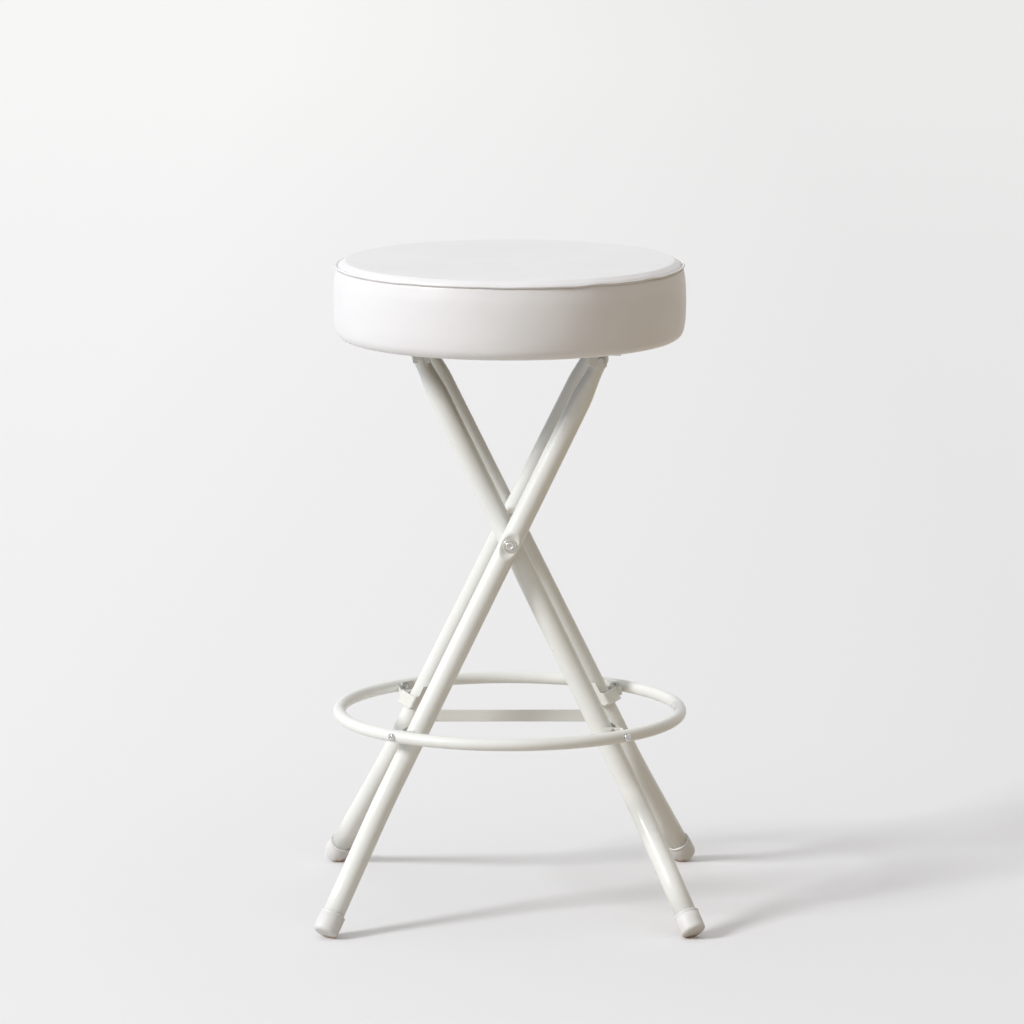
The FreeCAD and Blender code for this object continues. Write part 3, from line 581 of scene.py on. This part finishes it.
def legStations(axis):
    # centre, direction and the two half widths of each section, from the foot up
    lower, upper, knee, radius = axis["lower"], axis["upper"], axis["knee"], leg["radius"]
    thin, wide = leg["pinchThickness"] / 2, leg["pinchWidth"] / 2
    reach = leg["bendRadius"] * math.tan(lower.angle(upper) / 2)
    start, end = knee - lower * reach, knee + upper * reach
    low = axis["foot"] + lower * leg["capHidden"]
    stations = [(low, lower, radius, radius), (low.lerp(start, 0.5), lower, radius, radius)]
    for k in range(leg["bendSteps"] + 1):
        t = k / leg["bendSteps"]
        point = start.lerp(knee, t).lerp(knee.lerp(end, t), t)
        stations.append((point, lower.lerp(upper, t).normalized(), radius, radius))
    span = (axis["pivot"] - end).length
    pinchEnd = (axis["rod"] - end).length - leg["pinchStraight"]
    pinchStart = pinchEnd - leg["pinchLength"]
    reaches = [span + leg["dimpleStep"] * k for k in range(-leg["dimpleSteps"], leg["dimpleSteps"] + 1)]
    for reach in [span * 0.5] + reaches + [(span + pinchStart) / 2]:
        stations.append((end + upper * reach, upper, radius, radius))
    for k in range(leg["pinchSteps"] + 1):
        t = k / leg["pinchSteps"]
        ease = t * t * (3 - 2 * t)
        stations.append((end + upper * (pinchStart + (pinchEnd - pinchStart) * t), upper,
                         radius + (thin - radius) * ease, radius + (wide - radius) * ease))
    for k in range(leg["endSteps"] + 1):
        angle = math.pi / 2 * k / (leg["endSteps"] + 0.2)  # stops just short of a point, which the lid closes
        stations.append((axis["rod"] + upper * thin * math.sin(angle), upper, thin * math.cos(angle), wide))
    return stations


def pressDimple(point, axis):
    # pushes the tube's outer face in to a flat round the rivet, with a soft rolled rim
    offset = point - axis["pivot"]
    height = offset.y * axis["press"]
    flat = leg["radius"] - leg["dimpleDepth"]
    along = Vector((axis["upper"].x, 0, axis["upper"].z)).normalized()
    across = Vector((along.z, 0, -along.x))
    length, width = abs(offset.dot(along)), abs(offset.dot(across))
    low = math.hypot(length / leg["dimpleFlat"][0], width / leg["dimpleFlat"][1])
    high = math.hypot(length / leg["dimpleMouth"][0], width / leg["dimpleMouth"][1])
    if height <= flat or high >= 1:
        return point
    t = 0.0 if low <= 1 else (low - 1) / (low - 1 + (1 - high) * low)
    ease = t * t * (3 - 2 * t)
    return Vector((point.x, axis["pivot"].y + axis["press"] * (flat + (height - flat) * ease), point.z))


def legMesh(name, axis):
    rings = []
    for centre, direction, thick, wide in legStations(axis):
        across = Vector((0, 1, 0)).cross(direction).normalized()
        along = direction.cross(across).normalized()
        angles = [2 * math.pi * k / leg["around"] for k in range(leg["around"])]
        rings.append([pressDimple(centre + across * thick * math.cos(angle) + along * wide * math.sin(angle), axis) * mm
                      for angle in angles])
    return skin(name, rings)


def capMesh(name, axis):
    # moulded cup with a rolled lip, standing on its inner edge, which the floor has worn flat
    c = footCap
    rim, length, (draft, draftTop) = c["rim"], c["length"], c["draft"]
    profile = [(0.0, 0.0), (c["radius"] - c["edge"], 0.0)]
    for k in range(1, 11):
        turn = math.pi / 2 * k / 10
        profile.append((c["radius"] - c["edge"] * (1 - math.sin(turn)), c["edge"] * (1 - math.cos(turn))))
    profile.append((c["radius"] + draft, draftTop))
    profile += [(rim - draft - inset, length - down) for inset, down in zip((0, c["grooveDepth"], 0), c["groove"])]
    profile.append((rim, length - c["lip"]))
    for k in range(1, 6):
        turn = math.pi / 2 * k / 5
        profile.append((rim - c["lip"] * (1 - math.cos(turn)), length - c["lip"] * (1 - math.sin(turn))))
    profile += [(c["bore"], length), (c["bore"], length - c["boreDepth"]), (0.0, length - c["boreDepth"])]
    turn = axis["lower"].to_track_quat("Z", "Y").to_matrix().to_4x4()
    mesh = lathe(name, profile, c["around"], Matrix.Translation(axis["foot"] * mm) @ turn)
    lowest = min(vertex.co.z for vertex in mesh.vertices)
    rise = axis["lower"] * ((-lowest - c["worn"] * mm) / axis["lower"].z)
    for vertex in mesh.vertices:
        vertex.co += rise
        vertex.co.z = max(vertex.co.z, 0.0)
    return mesh


for side, frameName in ((-1, "a"), (1, "b")):
    for front, place in ((-1, "front"), (1, "back")):
        axis = legAxis(side, front)
        label = frameName.upper() + place.title()
        body = "frame_" + frameName
        tube = addPiece("leg" + label, legMesh("leg" + label, axis), legPowderCoat, body)
        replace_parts(tube, "leg_" + frameName + "_" + place)
        cup = addPiece("footCap" + label, capMesh("footCap" + label, axis), ferrulePvc, body)
        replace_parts(cup, "foot_cap_" + frameName + "_" + place)

print("stool: rivets and screws")

# head with a rolled rim, a groove and a hollow boss, as a semi-tubular rivet has
rivet = {"rim": 7.0, "height": 3.0, "groove": (5.5, 4.9), "boss": 4.5, "hollow": 2.3, "pip": 1.2}


def rivetHead():
    r = rivet
    outer, inner = r["groove"]
    return [(r["rim"], 0.0), (r["rim"], 1.0), (r["rim"] - 0.5, 1.7), (outer + 0.3, 1.9), (outer, 1.1), (inner, 1.1),
            (r["boss"], 2.4), (r["boss"] - 0.6, r["height"]), (r["hollow"] + 0.5, r["height"]), (r["hollow"], 2.6),
            (r["hollow"] - 0.2, 1.3), (r["pip"], 1.3), (r["pip"] - 0.4, 2.1), (0.0, 2.3)]


for place in ("front", "back"):
    node = "pivot_rivet_" + place
    low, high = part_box(node)
    reach = (high[1] - low[1]) / mm
    head = [(radius, height + reach - rivet["height"]) for radius, height in rivetHead()]
    tail = [(radius, rivet["height"] - height) for radius, height in reversed(rivetHead())]
    profile = tail + [(3.9, rivet["height"]), (3.9, reach - rivet["height"])] + head
    centre = Vector(((low[0] + high[0]) / 2, low[1], (low[2] + high[2]) / 2))
    placement = Matrix.Translation(centre) @ Matrix.Rotation(-math.pi / 2, 4, "X")
    mesh = lathe("pivotRivet" + place.title(), rounded(profile, 0.35, 3), 56, placement)
    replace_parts(addPiece("pivotRivet" + place.title(), mesh, rivetSteel, "frame_a"), node)

screws = {
    "headRadius": 4.1, "headHeight": 2.4, "slotWidth": 1.0, "slotLength": 4.6, "slotDepth": 1.5,
    "shankRadius": 2.2, "shankLength": 17.4, "sunk": 0.05,
    "seatHeadRadius": 4.5, "seatShankRadius": 2.4, "seatShankLength": 10.9,
}


def crossHead(name, radius, height):
    # pan head with a cross recess, standing on the origin and facing +Z
    pan = [(0.0, 0.0), (radius, 0.0), (radius, height * 0.5), (radius * 0.72, height), (0.0, height * 1.04)]
    dome = lathe(name + "Dome", rounded(pan, 0.7, 4), 36)
    head = bpy.data.objects.new(name, dome)
    scene.collection.objects.link(head)
    cutterForm = bmesh.new()
    for turn in (0, math.pi / 2):
        size = Matrix.Diagonal((screws["slotLength"] * mm, screws["slotWidth"] * mm, screws["slotDepth"] * 2 * mm, 1))
        bmesh.ops.create_cube(cutterForm, size=1.0,
                              matrix=Matrix.Translation((0, 0, height * mm)) @ Matrix.Rotation(turn, 4, "Z") @ size)
    cutterMesh = bpy.data.meshes.new(name + "Slots")
    cutterForm.to_mesh(cutterMesh)
    cutterForm.free()
    cutter = bpy.data.objects.new(name + "Slots", cutterMesh)
    scene.collection.objects.link(cutter)
    recess = head.modifiers.new("recess", "BOOLEAN")
    recess.object = cutter
    recess.solver = "EXACT"
    recess.use_self = True
    bpy.context.view_layer.update()
    made = bpy.data.meshes.new_from_object(head.evaluated_get(bpy.context.evaluated_depsgraph_get()))
    bpy.data.objects.remove(cutter)
    head.modifiers.clear()
    head.data = made
    return head


# a fastener at every point, facing the way the point's facing attribute says, turned at random about that axis
fastenerTree, given = newTree("fasteners", [
    ("Fastener", "NodeSocketObject", None), ("Metal", "NodeSocketMaterial", None), ("Seed", "NodeSocketInt", 4)])
facing = addNode(fastenerTree, "GeometryNodeInputNamedAttribute", {"data_type": "FLOAT_VECTOR"}, {"Name": "facing"})
aimed = addNode(fastenerTree, "FunctionNodeAlignEulerToVector", {"axis": "Z"}, {"Vector": facing.outputs["Attribute"]})
spin = addNode(fastenerTree, "FunctionNodeRandomValue", {"data_type": "FLOAT"}, {"Seed": given["Seed"]})
spin.inputs[3].default_value = math.pi / 2
spun = addNode(fastenerTree, "ShaderNodeCombineXYZ", None, {"Z": spin.outputs[1]})
turned = addNode(fastenerTree, "FunctionNodeRotateEuler", {"space": "LOCAL"},
                 {"Rotation": aimed.outputs["Rotation"], "Rotate By": spun.outputs["Vector"]})
source = addNode(fastenerTree, "GeometryNodeObjectInfo", None, {"Object": given["Fastener"]})
placed = addNode(fastenerTree, "GeometryNodeInstanceOnPoints", None,
                 {"Points": given["Geometry"], "Instance": source.outputs["Geometry"],
                  "Rotation": turned.outputs["Rotation"]})
finishTree(fastenerTree, placed.outputs["Instances"], given["Metal"])


def pointsFacing(name, places):
    mesh = bpy.data.meshes.new(name)
    mesh.from_pydata([point for point, facing in places], [], [])
    attribute = mesh.attributes.new("facing", "FLOAT_VECTOR", "POINT")
    for entry, (point, facing) in zip(attribute.data, places):
        entry.vector = facing
    return mesh


def solidBoxes(node):
    # low and high corners of each separate solid of a CAD node
    form = bmesh.new()
    form.from_mesh(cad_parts[node].data)
    bmesh.ops.remove_doubles(form, verts=form.verts, dist=1e-6)
    left = set(form.verts)
    found = []
    while left:
        stack = [left.pop()]
        group = list(stack)
        while stack:
            for edge in stack.pop().link_edges:
                for vertex in edge.verts:
                    if vertex in left:
                        left.remove(vertex)
                        stack.append(vertex)
                        group.append(vertex)
        lows = [min(v.co[i] for v in group) for i in range(3)]
        highs = [max(v.co[i] for v in group) for i in range(3)]
        found.append((Vector(lows), Vector(highs)))
    form.free()
    return found


def shank(start, direction, lengthMm, radiusMm):
    turn = direction.to_track_quat("Z", "Y").to_matrix().to_4x4()
    profile = [(0, 0), (radiusMm, 0), (radiusMm, lengthMm), (0, lengthMm)]
    return lathe("shank", profile, 20, Matrix.Translation(start) @ turn)


def joinMeshes(name, meshes):
    form = bmesh.new()
    for mesh in meshes:
        form.from_mesh(mesh)
    joined = bpy.data.meshes.new(name)
    form.to_mesh(joined)
    form.free()
    return joined


def addScrews(name, nodes, body, headRadius, seating, seed):
    # seating gives a screw's seat, the way its head faces, and its shank, from the box of its solid
    headSource = crossHead(name + "Head", headRadius, screws["headHeight"])
    places, meshes = [], []
    for node in nodes:
        for low, high in solidBoxes(node):
            seat, facing, stem = seating(low, high)
            places.append((seat, facing))
            meshes.append(stem)
    heads = runTree(name, pointsFacing(name + "Points", places), fastenerTree,
                    {"Fastener": headSource, "Metal": brightSteel, "Seed": seed})
    bpy.data.objects.remove(headSource)
    return addPiece(name, joinMeshes(name, [heads] + meshes), brightSteel, body)


def ringScrewSeat(low, high):
    # the head stands on the tube's outer side and the shank runs in through the tab to its nut
    ringLow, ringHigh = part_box("foot_ring")
    outward = Vector(((low.x + high.x) / 2, (low.y + high.y) / 2, 0)).normalized()
    seat = outward * ringHigh[0]
    seat.z = (ringLow[2] + ringHigh[2]) / 2
    length, sunk = screws["shankLength"], screws["sunk"]
    start = seat - outward * (length + 2 * sunk) * mm
    return seat - outward * sunk * mm, outward, shank(start, outward, length, screws["shankRadius"])


def seatScrewSeat(low, high):
    # heads down under the brackets, shanks up into the board
    face = Vector(((low.x + high.x) / 2, (low.y + high.y) / 2, low.z + screws["headHeight"] * mm))
    stem = shank(face, Vector((0, 0, 1)), screws["seatShankLength"], screws["seatShankRadius"])
    return face, Vector((0, 0, -1)), stem


ringScrews = addScrews("ringScrews", ["ring_screws"], "ring", screws["headRadius"], ringScrewSeat, 3)
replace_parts(ringScrews, "ring_screws")
seatScrews = addScrews("seatScrews", ["seat_hinge_screws", "seat_catch_screws"], "seat", screws["seatHeadRadius"],
                       seatScrewSeat, 8)
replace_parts(seatScrews, "seat_hinge_screws", "seat_catch_screws")

print("stool: floor, light and camera")

# colours are pairs, left and right: the paper near and far, which is painted light fall-off, paler to the left and far
# off; the light it throws back; and the walls
studio = {
    "near": ("f1f2f5", "e5e5e7"), "far": ("f9fafb", "ecedee"), "bounce": ("dfdfe0", "ae9d82"),
    "paperLift": 0.055, "paperRoughness": 0.95, "fibreScale": 400.0, "fibreDepthMm": 0.01, "reach": 60.0,
    "sideways": 0.65, "farAway": 9.0,  # metres over which the paper's colour changes
    "walls": ("b1b1b3", "6f5b33"), "wallTurn": 0.8, "ceiling": "ffffff", "ceilingEdge": (0.45, 0.95),
    "strength": 0.91, "backdrop": "efeff0", "sun": 2.02, "sunHeight": 32, "sunTurn": 27, "sunSpread": 15,
}


def seenStraight(tree):
    # 1 for what the camera or a reflection sees, 0 for the light that falls on the object
    path = addNode(tree, "ShaderNodeLightPath").outputs
    return addNode(tree, "ShaderNodeMath", {"operation": "MAXIMUM"},
                   {0: path["Is Camera Ray"], 1: path["Is Glossy Ray"]}).outputs[0]


floorMesh = bpy.data.meshes.new("studioFloor")
r = studio["reach"]
floorMesh.from_pydata([(-r, -r, 0), (r, -r, 0), (r, r, 0), (-r, r, 0)], [], [(0, 1, 2, 3)])
floor = bpy.data.objects.new("studioFloor", floorMesh)
scene.collection.objects.link(floor)
studioPaper, tree, coords = newMaterial("studioPaper")
straight = seenStraight(tree)
fibre = addNode(tree, "ShaderNodeTexNoise", None, {"Vector": coords, "Scale": studio["fibreScale"], "Detail": 2.0})
onFloor = addNode(tree, "ShaderNodeSeparateXYZ", None, {"Vector": coords}).outputs
sideways = studio["sideways"]
rightward = addNode(tree, "ShaderNodeMapRange", None,
                    {"Value": onFloor["X"], "From Min": -sideways, "From Max": sideways}).outputs["Result"]
away = addNode(tree, "ShaderNodeMapRange", None,
               {"Value": onFloor["Y"], "From Min": 0.0, "From Max": studio["farAway"]}).outputs["Result"]
shades = {}
for shade in ("near", "far", "bounce"):
    left, right = (srgb(colour) for colour in studio[shade])
    shades[shade] = addNode(tree, "ShaderNodeMix", {"data_type": "RGBA"}, {0: rightward, 6: left, 7: right}).outputs[2]
# painted light: the paper is paler to the left and far off and darker to the right and near, as the light falls off
paper = addNode(tree, "ShaderNodeMix", {"data_type": "RGBA"}, {0: away, 6: shades["near"], 7: shades["far"]}).outputs[2]
colour = addNode(tree, "ShaderNodeMix", {"data_type": "RGBA"}, {0: straight, 6: shades["bounce"], 7: paper}).outputs[2]
grained = addNode(tree, "ShaderNodeBump", None,
                  {"Height": fibre.outputs["Fac"], "Strength": 1.0, "Distance": studio["fibreDepthMm"] * mm})
lit = addNode(tree, "ShaderNodeBsdfPrincipled", None,
              {"Base Color": colour, "Roughness": studio["paperRoughness"], "Normal": grained.outputs["Normal"],
               "Specular IOR Level": 0.1})
# the camera sees the paper a little paler than it is lit, and the object gets none of that
lift = addNode(tree, "ShaderNodeMath", {"operation": "MULTIPLY"}, {0: studio["paperLift"], 1: straight}).outputs[0]
pale = addNode(tree, "ShaderNodeEmission", None, {"Strength": lift})
both = addNode(tree, "ShaderNodeAddShader", None, {0: lit.outputs["BSDF"], 1: pale.outputs[0]})
addNode(tree, "ShaderNodeOutputMaterial", None, {"Surface": both.outputs[0]})
paint(floor, studioPaper)

world = bpy.data.worlds.new("studio")
scene.world = world
world.use_nodes = True
tree = world.node_tree
tree.nodes.clear()
direction = addNode(tree, "ShaderNodeTexCoord").outputs["Generated"]
heading = addNode(tree, "ShaderNodeSeparateXYZ", None, {"Vector": direction}).outputs
wallTurn, (edgeLow, edgeHigh) = studio["wallTurn"], studio["ceilingEdge"]
side = addNode(tree, "ShaderNodeMapRange", None,
               {"Value": heading["X"], "From Min": -wallTurn, "From Max": wallTurn}).outputs["Result"]
overhead = addNode(tree, "ShaderNodeMapRange", {"interpolation_type": "SMOOTHSTEP"},
                   {"Value": heading["Z"], "From Min": edgeLow, "From Max": edgeHigh}).outputs["Result"]
left, right = (srgb(colour) for colour in studio["walls"])
walls = addNode(tree, "ShaderNodeMix", {"data_type": "RGBA"}, {0: side, 6: left, 7: right}).outputs[2]
box = addNode(tree, "ShaderNodeMix", {"data_type": "RGBA"},
              {0: overhead, 6: walls, 7: srgb(studio["ceiling"])}).outputs[2]
glow = addNode(tree, "ShaderNodeBackground", None, {"Color": box, "Strength": studio["strength"]})
plain = addNode(tree, "ShaderNodeBackground", None, {"Color": srgb(studio["backdrop"]), "Strength": 1.0})
chosen = addNode(tree, "ShaderNodeMixShader", None, {0: seenStraight(tree), 1: glow.outputs[0], 2: plain.outputs[0]})
addNode(tree, "ShaderNodeOutputWorld", None, {"Surface": chosen.outputs[0]})

sunData = bpy.data.lights.new("windowLight", "SUN")
sunData.energy = studio["sun"]
sunData.angle = math.radians(studio["sunSpread"])
sun = bpy.data.objects.new("windowLight", sunData)
scene.collection.objects.link(sun)
height, turn = math.radians(studio["sunHeight"]), math.radians(studio["sunTurn"])
toSun = Vector((-math.cos(height) * math.cos(turn), -math.cos(height) * math.sin(turn), math.sin(height)))
sun.rotation_euler = toSun.to_track_quat("Z", "Y").to_euler()
sun.location = toSun * 3

lens = {"focal": 216.95, "place": (0.0024, -6.287, 1.4743), "dip": 9.614}
cameraData = bpy.data.cameras.new("camera")
cameraData.lens = lens["focal"]
cameraData.sensor_width = 36.0
cameraData.clip_end = 200.0
camera = bpy.data.objects.new("camera", cameraData)
scene.collection.objects.link(camera)
camera.location = lens["place"]
camera.rotation_euler = (math.radians(90 - lens["dip"]), 0, 0)
scene.camera = camera
scene.view_settings.view_transform = "Standard"

print("stool: done")
